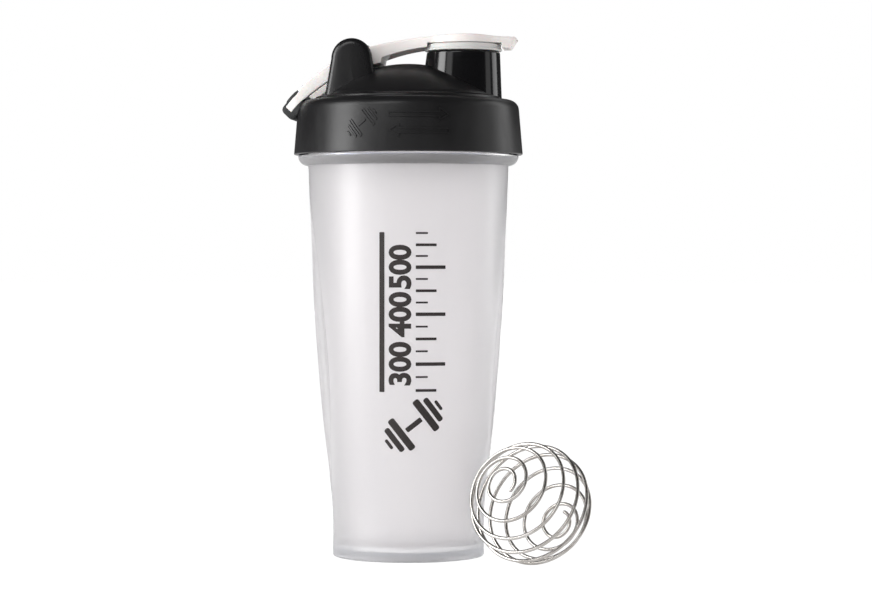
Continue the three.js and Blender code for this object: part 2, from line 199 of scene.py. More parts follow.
finishes = {
    "cup": {"clear": (0.945, 0.925, 0.93), "cloud": (0.915, 0.898, 0.905), "rough": 0.31, "through": 0.88, "ior": 1.5,
            "depth": (0.55, 0.78, 1.0), "density": 6.0},
    "lid": {"dark": (0.0052, 0.0050, 0.0056), "light": (0.0082, 0.0080, 0.0086), "rough": 0.34, "gleam": 0.4,
            "grain": 0.000022},
    "gloss": {"dark": (0.0030, 0.0030, 0.0036), "light": (0.0045, 0.0044, 0.005), "rough": 0.13, "grain": 0.000008},
    "post": {"dark": (0.0040, 0.0040, 0.0046), "light": (0.0060, 0.0058, 0.0064), "rough": 0.27, "grain": 0.000012},
    "arm": {"dark": (0.74, 0.70, 0.68), "light": (0.80, 0.765, 0.745), "rough": 0.42, "grain": 0.000018},
    "loop": {"dark": (0.70, 0.672, 0.652), "light": (0.76, 0.733, 0.713), "rough": 0.42, "grain": 0.000018},
    "plug": {"dark": (0.54, 0.535, 0.52), "light": (0.61, 0.605, 0.59), "rough": 0.38, "grain": 0.000012},
    "rubber": {"dark": (0.009, 0.0095, 0.010), "light": (0.018, 0.019, 0.020), "rough": 0.62, "grain": 0.00004},
    "seal": {"dark": (0.42, 0.43, 0.44), "light": (0.50, 0.51, 0.52), "rough": 0.6, "grain": 0.00003},
    "steel": {"dark": (0.44, 0.415, 0.39), "light": (0.60, 0.58, 0.56), "rough": 0.17},
    "ink": {"dark": (0.016, 0.011, 0.010), "light": (0.028, 0.021, 0.020), "rough": 0.6},
}


def mouldedPlastic(name, finish, spread=0.06, soft=0.0, coat=0.0):
    # a moulded part: a slow drift of colour, a fine spark-eroded grain and a few handling rubs
    material, shade, place = newMaterial(name)
    drift = noise(shade, place, 38, 4).between(0.35, 0.65)
    grain = noise(shade, place, 2600, 2)
    rubs = noise(shade, place, 160, 5, (1, 1, 0.25)).between(0.5, 0.72)
    values = {
        "Base Color": drift.mixColour(finish["dark"], finish["light"]),
        "Roughness": finish["rough"] + (drift - 0.5) * spread + rubs * spread,
        "Normal": bumped(shade, grain, finish["grain"]),
        "IOR": 1.49,
        "Specular IOR Level": finish.get("gleam", 0.5),
    }
    if soft:
        values.update({"Subsurface Weight": soft, "Subsurface Scale": 0.002})
    if coat:
        values.update({"Coat Weight": coat, "Coat Roughness": 0.06})
    return finishMaterial(material, shade, values)


def frostedPlastic():
    # the cup: cloudy and see-through, with a faint flow of the melt up the wall
    finish = finishes["cup"]
    material, shade, place = newMaterial("cup_frosted")
    flow = noise(shade, place, 60, 4, (1, 1, 0.12)).between(0.3, 0.7)
    grain = noise(shade, place, 1900, 2)
    ripple = noise(shade, place, 90, 2, (1, 1, 0.2))
    soft = bumped(shade, ripple, 0.00003, 0.6)
    tint = shade.make("ShaderNodeVolumeAbsorption", {}, {
        "Color": (*finish["depth"], 1),
        "Density": finish["density"],
    })
    return finishMaterial(material, shade, {
        "Base Color": flow.mixColour(finish["cloud"], finish["clear"]),
        "Roughness": finish["rough"] + flow * 0.05,
        "Normal": bumped(shade, grain, 0.00002, 1.0, soft),
        "IOR": finish["ior"],
        "Transmission Weight": finish["through"],
    }, tint)


def drawnSteel():
    finish = finishes["steel"]
    material, shade, place = newMaterial("wire_steel")
    tint = noise(shade, place, 120, 4).between(0.35, 0.65)
    marks = noise(shade, place, 1500, 3, (1, 1, 0.3))
    return finishMaterial(material, shade, {
        "Base Color": tint.mixColour(finish["dark"], finish["light"]),
        "Metallic": 1.0,
        "Roughness": finish["rough"] + tint * 0.06,
        "Normal": bumped(shade, marks, 0.000006),
    })


def printedInk():
    finish = finishes["ink"]
    material, shade, place = newMaterial("ink")
    cover = noise(shade, place, 700, 3).between(0.4, 0.7)
    return finishMaterial(material, shade, {
        "Base Color": cover.mixColour(finish["dark"], finish["light"]),
        "Roughness": finish["rough"] + cover * 0.1,
        "Normal": bumped(shade, cover, 0.00001),
    })


cupPlastic = frostedPlastic()
lidPlastic = mouldedPlastic("lid_satin", finishes["lid"])
glossPlastic = mouldedPlastic("lid_polished", finishes["gloss"], spread=0.03)
postPlastic = mouldedPlastic("post_satin", finishes["post"], spread=0.04)
armPlastic = mouldedPlastic("arm_white", finishes["arm"], soft=0.12)
loopPlastic = mouldedPlastic("loop_white", finishes["loop"], soft=0.12)
plugPlastic = mouldedPlastic("plug_white", finishes["plug"], soft=0.12)
gripRubber = mouldedPlastic("grip_soft", finishes["rubber"], spread=0.12)
sealRubber = mouldedPlastic("seal_soft", finishes["seal"])
wireSteel = drawnSteel()
inkPaint = printedInk()
print("materials are made")


# ---- mesh helpers ----


def place(name, points, faces, material, slot, body, sharp=40):
    # a mesh object from points in millimetres, facing out, smooth but for its sharp edges
    mesh = bpy.data.meshes.new(name)
    mesh.from_pydata([tuple(Vector(p) * mm) for p in points], [], faces)
    work = bmesh.new()
    work.from_mesh(mesh)
    bmesh.ops.remove_doubles(work, verts=work.verts, dist=1e-7)
    bmesh.ops.recalc_face_normals(work, faces=work.faces)
    work.to_mesh(mesh)
    work.free()
    return settle(bpy.data.objects.new(name, mesh), material, body, sharp)


def settle(made, material, body, sharp=40):
    if made.name not in bpy.context.scene.collection.objects:
        bpy.context.scene.collection.objects.link(made)
    made.data.materials.clear()
    made.data.materials.append(material)
    made.data.shade_smooth()
    made.data.set_sharp_from_angle(angle=math.radians(sharp))
    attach(made, body)
    return made


def spread(low, high, steps):
    return [low + (high - low) * i / steps for i in range(steps + 1)]


def mixed(low, high, share):
    return low + (high - low) * share


def smooth(low, high, value):
    share = min(max((value - low) / (high - low), 0), 1)
    return share * share * (3 - 2 * share)


def filleted(corners, steps=6):
    # an open outline of (radius, height, rounding) corners, with the roundings drawn as arcs
    points = []
    for i, corner in enumerate(corners):
        here = Vector(corner[:2])
        rounding = corner[2] if len(corner) > 2 else 0
        if not rounding or i in (0, len(corners) - 1):
            points.append(here)
            continue
        back = (Vector(corners[i - 1][:2]) - here).normalized()
        ahead = (Vector(corners[i + 1][:2]) - here).normalized()
        half = back.angle(ahead) / 2
        centre = here + (back + ahead).normalized() * (rounding / math.sin(half))
        start = here + back * (rounding / math.tan(half)) - centre
        end = here + ahead * (rounding / math.tan(half)) - centre
        turn = start.angle(end)
        for k in range(steps + 1):
            share = k / steps
            arm = start * math.sin((1 - share) * turn) + end * math.sin(share * turn)
            points.append(centre + arm / math.sin(turn))
    return points


def turned(outline, sides=128, centre=(0, 0, 0), closed=False, axis="Z", bend=None, angles=None):
    # points and faces of an outline turned about an axis; bend may move each point
    angles = angles or [2 * math.pi * k / sides for k in range(sides)]
    count = len(angles)
    points, rows = [], []
    for i, (radius, height) in enumerate(outline):
        ring = [0] if radius < 1e-6 else angles
        rows.append([len(points) + k for k in range(len(ring))])
        for angle in ring:
            point = Vector((radius * math.cos(angle), radius * math.sin(angle), height))
            if bend:
                point = bend(point, i)
            if axis == "Y":
                point = Vector((point.x, point.z, -point.y))
            points.append(point + Vector(centre))
    faces = []
    pairs = list(zip(rows, rows[1:])) + ([(rows[-1], rows[0])] if closed else [])
    for low, high in pairs:
        for k in range(count):
            after = (k + 1) % count
            if len(low) == 1 and len(high) > 1:
                faces.append((low[0], high[after], high[k]))
            elif len(high) == 1 and len(low) > 1:
                faces.append((low[k], low[after], high[0]))
            elif len(low) > 1:
                faces.append((low[k], low[after], high[after], high[k]))
    return points, faces


def lofted(sections, ends=True):
    # points and faces of a skin over equal rings of points, closed at both ends
    count = len(sections[0])
    points = [p for section in sections for p in section]
    faces = []
    for i in range(len(sections) - 1):
        for k in range(count):
            after = (k + 1) % count
            low, high = i * count, (i + 1) * count
            faces.append((low + k, low + after, high + after, high + k))
    if ends:
        for base in (0, (len(sections) - 1) * count):
            middle = sum((Vector(p) for p in points[base:base + count]), Vector()) / count
            points.append(middle)
            faces += [(base + k, base + (k + 1) % count, len(points) - 1) for k in range(count)]
    return points, faces


def joined(*parts):
    points, faces = [], []
    for morePoints, moreFaces in parts:
        start = len(points)
        points += morePoints
        faces += [tuple(k + start for k in face) for face in moreFaces]
    return points, faces


def roundedBox(halfWide, halfHigh, rounding, steps=4):
    # corners of a box with round edges, as a ring about its middle
    ring = []
    rounding = min(rounding, halfWide * 0.98, halfHigh * 0.98)
    for quarter, (x, y) in enumerate([(1, 1), (-1, 1), (-1, -1), (1, -1)]):
        for k in range(steps + 1):
            angle = (quarter + k / steps) * math.pi / 2
            ring.append((
                x * (halfWide - rounding) + rounding * math.cos(angle),
                y * (halfHigh - rounding) + rounding * math.sin(angle),
            ))
    return ring


def cutAway(made, points, faces):
    # takes a closed shape out of an object
    mesh = bpy.data.meshes.new("cutter")
    mesh.from_pydata([tuple(Vector(p) * mm) for p in points], [], faces)
    cutter = bpy.data.objects.new("cutter", mesh)
    bpy.context.scene.collection.objects.link(cutter)
    work = bmesh.new()
    work.from_mesh(mesh)
    bmesh.ops.recalc_face_normals(work, faces=work.faces)
    work.to_mesh(mesh)
    work.free()
    step = made.modifiers.new("cut", "BOOLEAN")
    step.operation = "DIFFERENCE"
    step.solver = "EXACT"
    step.object = cutter
    bpy.context.view_layer.update()
    shown = made.evaluated_get(bpy.context.evaluated_depsgraph_get())
    cut = bpy.data.meshes.new_from_object(shown)
    made.modifiers.clear()
    made.data = cut
    bpy.data.objects.remove(cutter)


# ---- cup ----

cup = {
    "footRadius": 33.2, "footRounding": 1.5, "footEdge": 0.9, "footWidth": 3.6, "footRecess": 1.8, "padRadius": 13,
    "neckHeight": 20.1, "collarWidth": 4.1, "collarRounding": 4.3, "bodyStep": 0.3,
    "wall": 1.9, "neckWall": 2.0, "floor": 3.5, "floorCorner": 6,
    "taper": [(0, 0), (0.13, 0.03), (0.34, 0.41), (0.5, 0.63), (0.65, 0.79), (0.8, 0.88), (1, 1)],
    "gripTurn": 10, "gripLow": 30, "gripHigh": 158, "gripHalfAngle": 25, "flutes": 4, "fluteDepth": 1.4,
    "threadRise": 6, "threadLead": 10, "threadTurns": 0.75, "threadHeight": 1.5,
}
rimZ = cupHigh.z
collarZ = rimZ - cup["neckHeight"]
collarRadius = cupHigh.x
neckRadius = collarRadius - cup["collarWidth"]
bodyTop = collarZ - cup["collarRounding"]
bodyTopRadius = neckRadius - cup["bodyStep"]


def taperTable(points, steps=40):
    # the wall's easy curve through a few shares of height and widening
    table = []
    last = len(points) - 1
    for i in range(last):
        before, low, high, after = (Vector(points[min(max(i + k, 0), last)]) for k in (-1, 0, 1, 2))
        for k in range(steps):
            t = k / steps
            slopeLow, slopeHigh = (high - before) / 2, (after - low) / 2
            table.append(
                low * (2 * t**3 - 3 * t**2 + 1) + high * (3 * t**2 - 2 * t**3)
                + slopeLow * (t**3 - 2 * t**2 + t) + slopeHigh * (t**3 - t**2)
            )
    return table + [Vector(points[-1])]


taper = taperTable(cup["taper"])
taperHeights = [p.x for p in taper]


def wallRadius(z):
    height = min(max((z - cup["footRounding"]) / (bodyTop - cup["footRounding"]), 0), 1)
    after = min(max(bisect.bisect_left(taperHeights, height), 1), len(taper) - 1)
    low, high = taper[after - 1], taper[after]
    share = mixed(low.y, high.y, (height - low.x) / (high.x - low.x))
    return mixed(cup["footRadius"], bodyTopRadius, share)


def fluteDepth(angle, z):
    # how deep the finger flutes are at a point of the wall
    rise = (z - cup["gripLow"]) / (cup["gripHigh"] - cup["gripLow"])
    if not 0 < rise < 1:
        return 0
    turn = (math.degrees(angle) - cup["gripTurn"] + 90) % 180 - 90
    swell = math.sin(math.pi * rise**0.85) ** 0.7
    across = turn / (cup["gripHalfAngle"] * swell)
    if abs(across) >= 1:
        return 0
    share = ((across + 1) / 2 * cup["flutes"]) % 1
    scallop = 1 - abs(2 * share - 1) ** 1.7
    return cup["fluteDepth"] * scallop * smooth(0, 0.5, swell)


def cupAngles():
    # close together at the flutes and wider apart elsewhere
    steps = []
    angle = -45
    while angle < 315:
        near = abs((angle - cup["gripTurn"] + 90) % 180 - 90) < 30
        steps.append(math.radians(angle))
        angle += 0.75 if near else 2.5
    return steps


def cupOutline():
    footInner = cup["footRadius"] - cup["footRounding"] - cup["footWidth"]
    inside = neckRadius - cup["neckWall"]
    recess = cup["footRecess"]
    low = filleted([
        (0, 0), (cup["padRadius"], 0, 0.3), (cup["padRadius"] + recess, recess, 0.4),
        (footInner - recess, recess, 0.6), (footInner, 0, 0.4), (cup["footRadius"], 0, cup["footEdge"]),
        (cup["footRadius"], cup["footRounding"] + 0.01),
    ])
    wall = [(wallRadius(z), z) for z in spread(cup["footRounding"] + 0.1, bodyTop - 0.6, 120)]
    neck = filleted([
        (wallRadius(bodyTop - 0.6), bodyTop - 0.6), (bodyTopRadius, bodyTop, 0.5),
        (collarRadius, bodyTop, cup["collarRounding"] - 0.2), (collarRadius, collarZ, 0.6),
        (neckRadius, collarZ, 0.5), (neckRadius, rimZ, 0.8), (inside, rimZ, 0.8),
        (inside, collarZ, 2), (bodyTopRadius - cup["wall"], bodyTop - 2),
    ], 8)
    bottom = cup["floor"] + cup["floorCorner"]
    inner = [(wallRadius(z) - cup["wall"], z) for z in spread(bodyTop - 3, bottom, 60)]
    floorRadius = wallRadius(bottom) - cup["wall"]
    corner = (floorRadius, cup["floor"], cup["floorCorner"] - 0.3)
    floor = filleted([(floorRadius, bottom), corner, (0, cup["floor"])], 10)
    return low + wall + neck[1:] + inner + floor[1:]


def threadRidge(wall, outward, low, start):
    # one thread with run-in and run-out, on a wall's outside or inside
    steps = 90
    sections = []
    for i in range(steps + 1):
        share = i / steps
        angle = start + 2 * math.pi * cup["threadTurns"] * share
        out = Vector((math.cos(angle), math.sin(angle), 0))
        up = Vector((0, 0, 1))
        size = smooth(0, 0.06, share) * smooth(0, 0.06, 1 - share)
        crest = outward * (cup["threadHeight"] * (0.05 + 0.95 * size))
        centre = out * wall + up * (low + cup["threadLead"] * cup["threadTurns"] * share)
        ring = [(-0.3 * outward, -1.05), (crest * 0.75, -0.62), (crest, -0.38), (crest, 0.38), (crest * 0.75, 0.62),
                (-0.3 * outward, 1.05)]
        sections.append([centre + out * u + up * v * (0.35 + 0.65 * size) for u, v in ring])
    return lofted(sections)


def makeCup():
    outline = cupOutline()

    def dent(point, i):
        radius = Vector((point.x, point.y)).length
        if point.z > bodyTop - 1 or radius < wallRadius(point.z) - 0.5:
            return point
        depth = fluteDepth(math.atan2(point.y, point.x), point.z)
        return Vector((point.x * (1 - depth / radius), point.y * (1 - depth / radius), point.z))

    body = turned([tuple(p) for p in outline], bend=dent, angles=cupAngles())
    ridges = [threadRidge(neckRadius, 1, collarZ + cup["threadRise"], k * math.pi) for k in range(2)]
    made = place("cup_wall", *joined(body, *ridges), cupPlastic, "cup_plastic", "cup", 50)
    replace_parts(made, "cup_body")


makeCup()
print("cup is made")


# ---- lid ----

lid = {
    "wall": 1.8, "threadClearance": 2.2, "shoulder": 4.5, "domeInset": 8.4, "domeRise": 14.1, "bead": 2.0,
    "beadWidth": 3.0, "lipWidth": 1.9, "lipGap": 0.3, "plugDepth": 4.7, "spoutFoot": 16.9, "spoutTop": 16.0,
    "bore": 12, "boreLand": 8, "boreWide": 13.6, "postRadius": 8.9, "postThick": 4.8, "postFlare": 3.2,
    "postEdge": 2.7, "postLean": 0.045, "postCrown": 1.5, "postGap": 0.3, "pin": 2.5, "pinDepth": 2.4,
    "hubHalf": 12.3, "ring": 3,
}
innerRadius = neckRadius + lid["threadClearance"]
skirtRadius = innerRadius + lid["wall"]
skirtFootRadius = collarRadius + lid["lipWidth"]
plateZ = sealHigh.z + lid["lipGap"]
shoulderZ = plateZ + lid["wall"]
domeRadius = innerRadius - lid["domeInset"]
domeTop = shoulderZ + lid["bead"] + lid["domeRise"]
sphere = (domeRadius**2 + lid["domeRise"] ** 2) / (2 * lid["domeRise"])
sphereZ = domeTop - sphere
spoutTop = plugLow.z + lid["plugDepth"]
ringInner = lid["hubHalf"] + 0.4
ringOuter = ringInner + lid["ring"]
postInner = ringOuter + lid["postGap"]


def domeHeight(x, y):
    reach = math.hypot(x, y)
    if reach < domeRadius:
        return sphereZ + math.sqrt(sphere**2 - reach**2)
    return shoulderZ


def capArc(radius, foot, steps):
    # the dome as an arc from its foot to the axis
    return [(radius * math.sin(a), sphereZ + radius * math.cos(a)) for a in spread(foot, 0, steps)]


def makeLidShell():
    foot = math.asin(domeRadius / sphere)
    bead = domeRadius + lid["beadWidth"]
    roof = sphere - lid["wall"]
    roofFoot = math.asin((domeRadius - lid["wall"]) / roof)
    lead = collarRadius - 0.3
    outer = filleted([
        (0, lidLow.z), (lead, lidLow.z), (skirtFootRadius, lidLow.z, 0.45),
        (skirtRadius, shoulderZ, lid["shoulder"]), (bead, shoulderZ + 0.15, 0.5),
        (bead - 0.35, shoulderZ + 1.35, 0.45),
        (domeRadius - 0.5, shoulderZ + 2.15),
    ], 9)[1:]
    inner = filleted([
        (domeRadius - lid["wall"], plateZ + 0.4), (domeRadius - lid["wall"] + 1, plateZ, 0.4),
        (innerRadius, plateZ, 3), (innerRadius, lidLow.z + 2, 0.5), (lead, lidLow.z),
    ], 6)
    outline = outer + [Vector(p) for p in capArc(sphere, foot - 0.02, 44)]
    outline += [Vector(p) for p in reversed(capArc(roof, roofFoot, 26))] + inner[:-1]
    points, faces = turned([tuple(p) for p in outline], 200)
    start = collarZ + cup["threadRise"] - cup["threadLead"] / 4
    made = place("lid_skirt_and_dome", points, faces, lidPlastic, "lid_plastic", "lid", 42)
    hole = filleted([(0, shoulderZ - 8), (15.2, shoulderZ - 8), (15.2, spoutTop + 3), (0, spoutTop + 3)])
    cutAway(made, *turned([tuple(p) for p in hole], 96, (spoutX, 0, 0)))
    settle(made, lidPlastic, "lid", 42)
    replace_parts(made, "lid_shell")
    ridges = [threadRidge(innerRadius, -1, start, k * math.pi) for k in range(2)]
    place("lid_threads", *joined(*ridges), lidPlastic, "lid_plastic", "lid", 50)


def makeSpout():
    foot = shoulderZ - 1.2
    outline = filleted([
        (lid["boreWide"], foot), (lid["spoutFoot"], foot), (lid["spoutTop"] + 0.05, spoutTop, 0.9),
        (lid["bore"], spoutTop, 0.7), (lid["bore"], spoutTop - lid["boreLand"], 1),
        (lid["boreWide"], spoutTop - lid["boreLand"] - 2, 1), (lid["boreWide"], foot + 0.5),
    ], 7)

    def settleOnDome(point, i):
        # the tower's foot follows the dome's underside
        deep = domeHeight(point.x + spoutX, point.y) - 1.3
        return Vector((point.x, point.y, deep)) if point.z < foot + 1 else point

    points, faces = turned([tuple(p) for p in outline], 144, (spoutX, 0, 0), True, bend=settleOnDome)
    place("spout", points, faces, glossPlastic, "lid_plastic", "lid", 42)


def postRing(inset, y, side, squeeze=1.0):
    # the post's outline at one slice, with its foot sunk in the dome
    radius = lid["postRadius"] - inset
    flare = lid["postFlare"]
    foot = shoulderZ - 0.5
    ring = [(radius * math.cos(a), hinge.z + radius * math.sin(a)) for a in spread(0, math.pi, 40)]
    ring += [(-radius - flare * share, mixed(hinge.z, foot, share)) for share in spread(0.06, 1, 14)]
    ring += [(mixed(-1, 1, share) * (radius + flare), foot) for share in spread(0.08, 0.92, 12)]
    ring += [(radius + flare * share, mixed(hinge.z, foot, share)) for share in reversed(spread(0.06, 1, 14))]
    placed = []
    for x, z in ring:
        x *= squeeze
        crown = lid["postCrown"] * (x / (lid["postRadius"] + flare)) ** 2 + lid["postLean"] * (z - shoulderZ)
        depth = y - crown * (y - postInner) / lid["postThick"]
        floor = domeHeight(hinge.x + x, depth) - 1.2
        placed.append(Vector((hinge.x + x, side * depth, max(z, floor))))
    return placed


def pinHole(ring, radius, y):
    # the same number of points, drawn in to a circle about the hinge's axis
    placed = []
    for point in ring:
        way = Vector((point.x - hinge.x, point.z - hinge.z)).normalized() * radius
        placed.append(Vector((hinge.x + way.x, y, hinge.z + way.y)))
    return placed


def makePosts():
    thick, edge = lid["postThick"], lid["postEdge"]
    for side, name in ((-1, "hinge_post_front"), (1, "hinge_post_back")):
        slices = [(0.5, 0), (0.15, 0.15), (0, 0.5), (0, 1.4), (0, 2.4), (0, thick - edge)]
        for angle in spread(0, 80, 8)[1:]:
            turn = math.radians(angle)
            slices.append((edge * (1 - math.cos(turn)), thick - edge + edge * math.sin(turn)))
        slices += [(edge, thick, squeeze) for squeeze in (0.9, 0.75, 0.6, 0.45, 0.3, 0.15)]
        sections = [postRing(inset, postInner + y, side, *squeeze) for inset, y, *squeeze in slices]
        hole = lid["pin"] + 0.3
        inner = sections[0]
        sections.insert(0, pinHole(inner, hole, side * postInner))
        sections.insert(0, pinHole(inner, hole, side * (postInner + lid["pinDepth"] + 0.3)))
        place(name, *lofted(sections), postPlastic, "lid_plastic", "lid", 50)


makeLidShell()
makeSpout()
makePosts()
print("lid is made")


# ---- seal and plug ----


def makeSeal():
    low, high, outer = sealLow.z, sealHigh.z, sealHigh.x
    inner = outer - 3.6
    outline = filleted([
        (inner + 1, low), (outer, low, 0.4), (outer, high - 1.2, 0.3), (outer - 1.2, high, 0.3), (inner, high, 0.4),
        (inner, low, 0.4), (inner + 1, low),
    ], 4)[:-1]
    points, faces = turned([tuple(p) for p in outline], 160, closed=True)
    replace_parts(place("seal_ring", points, faces, sealRubber, "seal_rubber", "seal", 50), "lid_seal")


plug = {"flange": 1.0, "disc": 16.5, "flangeOut": 0.4, "height": 3.0, "taper": 0.4, "stem": 4}


def makePlug():
    base = spoutTop + 0.3
    top = base + plug["height"]
    radius = lid["bore"] - plug["taper"]
    wide = plug["disc"]
    outline = filleted([
        (0, base), (radius - 2.4, base, 0.8), (radius - 2.4, plugLow.z, 0.5),
        (radius - plug["taper"], plugLow.z, 0.8),
        (radius - 0.1, base - 1.2, 0.3), (radius, base - 0.4, 0.3), (radius, base, 0.3),
        (wide + plug["flangeOut"], base, 0.35), (wide + plug["flangeOut"], base + plug["flange"], 0.35),
        (wide - 0.05, base + plug["flange"] + 0.05, 0.3), (wide + 0.05, top, 0.7), (plug["stem"], top, 0.4),
        (plug["stem"], plugHigh.z, 0.5), (0, plugHigh.z),
    ], 6)
    points, faces = turned([tuple(p) for p in outline], 160, (spoutX, 0, 0))
    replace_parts(place("plug_disc", points, faces, plugPlastic, "plug_plastic", "cap", 42), "spout_plug")


makeSeal()
makePlug()
print("seal and plug are made")


# ---- flip cap ----

arm = {
    "hub": 5.1, "strap": 11, "head": 15.2, "tab": 8.5, "tabDrop": 6.6, "crown": 0.75,
    "edge": 0.9, "rib": 12.4, "wall": 1.6, "hollow": 2.6,
}
discTop = spoutTop + 0.3 + plug["height"]
headLow = discTop + 0.3
headHigh = capHigh.z
tipX = capHigh.x


def bezier(points, t):
    # a point on the curve that these points pull
    while len(points) > 1:
        points = [mixed(a, b, t) for a, b in zip(points, points[1:])]
    return points[0]


def curveHeight(points, x):
    low, high = 0.0, 1.0
    for _ in range(40):
        middle = (low + high) / 2
        if bezier(points, middle).x < x:
            low = middle
        else:
            high = middle
    return bezier(points, low).y


armTop = [
    Vector((hinge.x, hinge.z + arm["hub"])), Vector((hinge.x + 11, hinge.z + arm["hub"] + 2)),
    Vector((spoutX - 19, headHigh)), Vector((spoutX + 2, headHigh)),
]
armUnder = [
    Vector((hinge.x + arm["rib"], hinge.z + 0.9)), Vector((spoutX - plug["disc"] - 9, headLow - 3.0)),
    Vector((spoutX - plug["disc"] + 1.5, headLow - 1.9)),
]


def armHigh(x):
    if x < spoutX + 2:
        return curveHeight(armTop, x)
    beyond = x - spoutX - 2
    end = tipX - spoutX - 2
    return headHigh - 1.1 * smooth(2, end - 4, beyond) - 1.3 * smooth(end - 1.6, end + 0.2, beyond) ** 2


def armLow(x):
    ribX = armUnder[0].x
    if x < ribX:
        surface = sphereZ + math.sqrt((sphere + 0.8) ** 2 - x * x)
        root = mixed(hinge.z - arm["hub"] + 0.6, surface + 0.2, smooth(hinge.x + 2, hinge.x + 7, x))
        return mixed(root, armUnder[0].y, smooth(ribX - 0.7, ribX, x))
    if x < armUnder[-1].x:
        return curveHeight(armUnder, x)
    edge = spoutX + plug["disc"] + 0.6
    if x < edge:
        return headLow
    drop = headHigh - arm["tabDrop"]
    slope = smooth(tipX - 3.2, tipX + 0.2, x)
    return mixed(headLow, drop, smooth(edge, edge + 0.5, x)) + 3.9 * slope


def armHalf(x):
    reach = arm["head"] ** 2 - (x - spoutX) ** 2
    head = math.sqrt(reach) if reach > 0 else 0
    if x < spoutX:
        strap = mixed(arm["strap"], arm["strap"] - 0.8, smooth(hinge.x, spoutX - 18, x))
    else:
        strap = arm["tab"] + 1.0 * smooth(spoutX + 17, spoutX + 9, x)
        strap -= 1.4 * smooth(tipX - 9, tipX - 1, x) + 1.4 * smooth(tipX - 3.5, tipX + 0.4, x) ** 2
    both = max(strap, head)
    near = min(abs(strap - head) / 2.2, 1)
    return both + 0.45 * (1 - near) ** 2


def armSection(x, thin=1.0):
    # an upside-down channel across the arm, closed over the spout and at the tab
    half, high, low = armHalf(x) * thin, armHigh(x), armLow(x)
    if thin < 1:
        middle = (high + low) / 2
        high, low = mixed(middle, high, thin), mixed(middle, low, thin)
    edge = min(arm["edge"], (high - low) * 0.42)
    tall = high - low
    rootX, headX = armUnder[0].x, armUnder[-1].x
    channel = smooth(rootX + 0.6, rootX + 2.5, x) * smooth(headX + 0.6, headX + 0.1, x)
    hollow = min(arm["hollow"], tall - 1.5) * channel + 0.001
    inner = half - arm["wall"]
    foot = 0.35
    right = []
    for k in range(9):
        y = (half - edge) * k / 8
        right.append((y, high - arm["crown"] * (y / half) ** 2))
    shoulder = high - arm["crown"] * ((half - edge) / half) ** 2
    for angle in spread(90, 0, 6)[1:]:
        turn = math.radians(angle)
        right.append((half - edge + edge * math.cos(turn), shoulder - edge + edge * math.sin(turn)))
    for angle in spread(0, -90, 4):
        turn = math.radians(angle)
        right.append((half - foot + foot * math.cos(turn), low + foot + foot * math.sin(turn)))
    right += [(inner + 0.2, low), (inner, low + hollow * 0.15), (inner - 0.1, low + hollow * 0.8)]
    right += [(inner - 0.5, low + hollow), (inner * 0.5, low + hollow), (0, low + hollow)]
    left = [(-y, z) for y, z in reversed(right[1:-1])]
    return [Vector((x, y, z)) for y, z in right + left]


def makeFlipCap():
    start = hinge.x + 0.5
    ribX, underX, edgeX = armUnder[0].x, armUnder[-1].x, spoutX + plug["disc"] + 0.6
    stations = spread(start, ribX - 0.75, 16) + spread(ribX - 0.7, ribX + 0.1, 6)
    stations += spread(ribX + 0.3, underX - 0.2, 40)
    stations += [underX, underX + 0.05] + spread(underX + 0.3, edgeX - 0.1, 44) + spread(edgeX, edgeX + 0.6, 6)
    stations += spread(edgeX + 0.8, tipX - 0.5, 20)
    sections = [armSection(x) for x in stations]
    sections += [armSection(tipX - 0.25, 0.93), armSection(tipX - 0.08, 0.8), armSection(tipX, 0.55)]
    barrel = filleted([
        (0, -postInner - lid["pinDepth"]), (lid["pin"], -postInner - lid["pinDepth"], 0.5),
        (lid["pin"], -lid["hubHalf"], 0.2),
        (arm["hub"], -lid["hubHalf"], 0.7), (arm["hub"], lid["hubHalf"], 0.7), (lid["pin"], lid["hubHalf"], 0.2),
        (lid["pin"], postInner + lid["pinDepth"], 0.5), (0, postInner + lid["pinDepth"]),
    ], 5)
    hub = turned([tuple(p) for p in barrel], 96, (hinge.x, 0, hinge.z), axis="Y")
    made = place("flip_arm", *lofted(sections), armPlastic, "cap_plastic", "cap", 42)
    socket = filleted([(0, headLow - 2), (plug["stem"] + 0.3, headLow - 2), (plug["stem"] + 0.3, headLow + 1.6),
                       (0, headLow + 1.6)])
    cutAway(made, *turned([tuple(p) for p in socket], 64, (spoutX, 0, 0)))
    settle(made, armPlastic, "cap", 42)
    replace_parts(made, "flip_cap")
    place("flip_hub", *hub, armPlastic, "cap_plastic", "cap", 42)


makeFlipCap()
print("flip cap is made")


# ---- carry loop and grip ----

loop = {
    "drop": 22, "reach": 1.8, "bulge": 3.3, "rootHalf": 3.5, "endHalf": 2.25, "band": 1.5, "bar": 2.1,
    "corner": 5.2, "gripStart": 0.74, "recess": 0.7, "proud": 0.3, "under": 2.6, "end": 2.1, "edge": 0.8,
}
loopStart = Vector((hinge.x, hinge.z))
loopTip = Vector((-skirtFootRadius - loop["reach"], hinge.z - loop["drop"]))
loopLine = loopTip - loopStart
loopAcross = Vector((loopLine.y, -loopLine.x)).normalized()
loopPull = (loopStart + loopTip) / 2 + loopAcross * loop["bulge"]
loopLength = loopLine.length * 1.01


def loopFrame(share):
    # a place on the loop's side curve, its direction, and the way out of the band
    t = min(max(share, 0), 1)
    place2 = bezier([loopStart, loopPull, loopTip], t)
    along = ((loopPull - loopStart) * (1 - t) + (loopTip - loopPull) * t).normalized()
    place2 = place2 + along * (share - t) * loopLength
    out = Vector((along.y, -along.x))
    if out.y < 0:
        out = -out
    return Vector((place2.x, 0, place2.y)), Vector((along.x, 0, along.y)), Vector((out.x, 0, out.y))


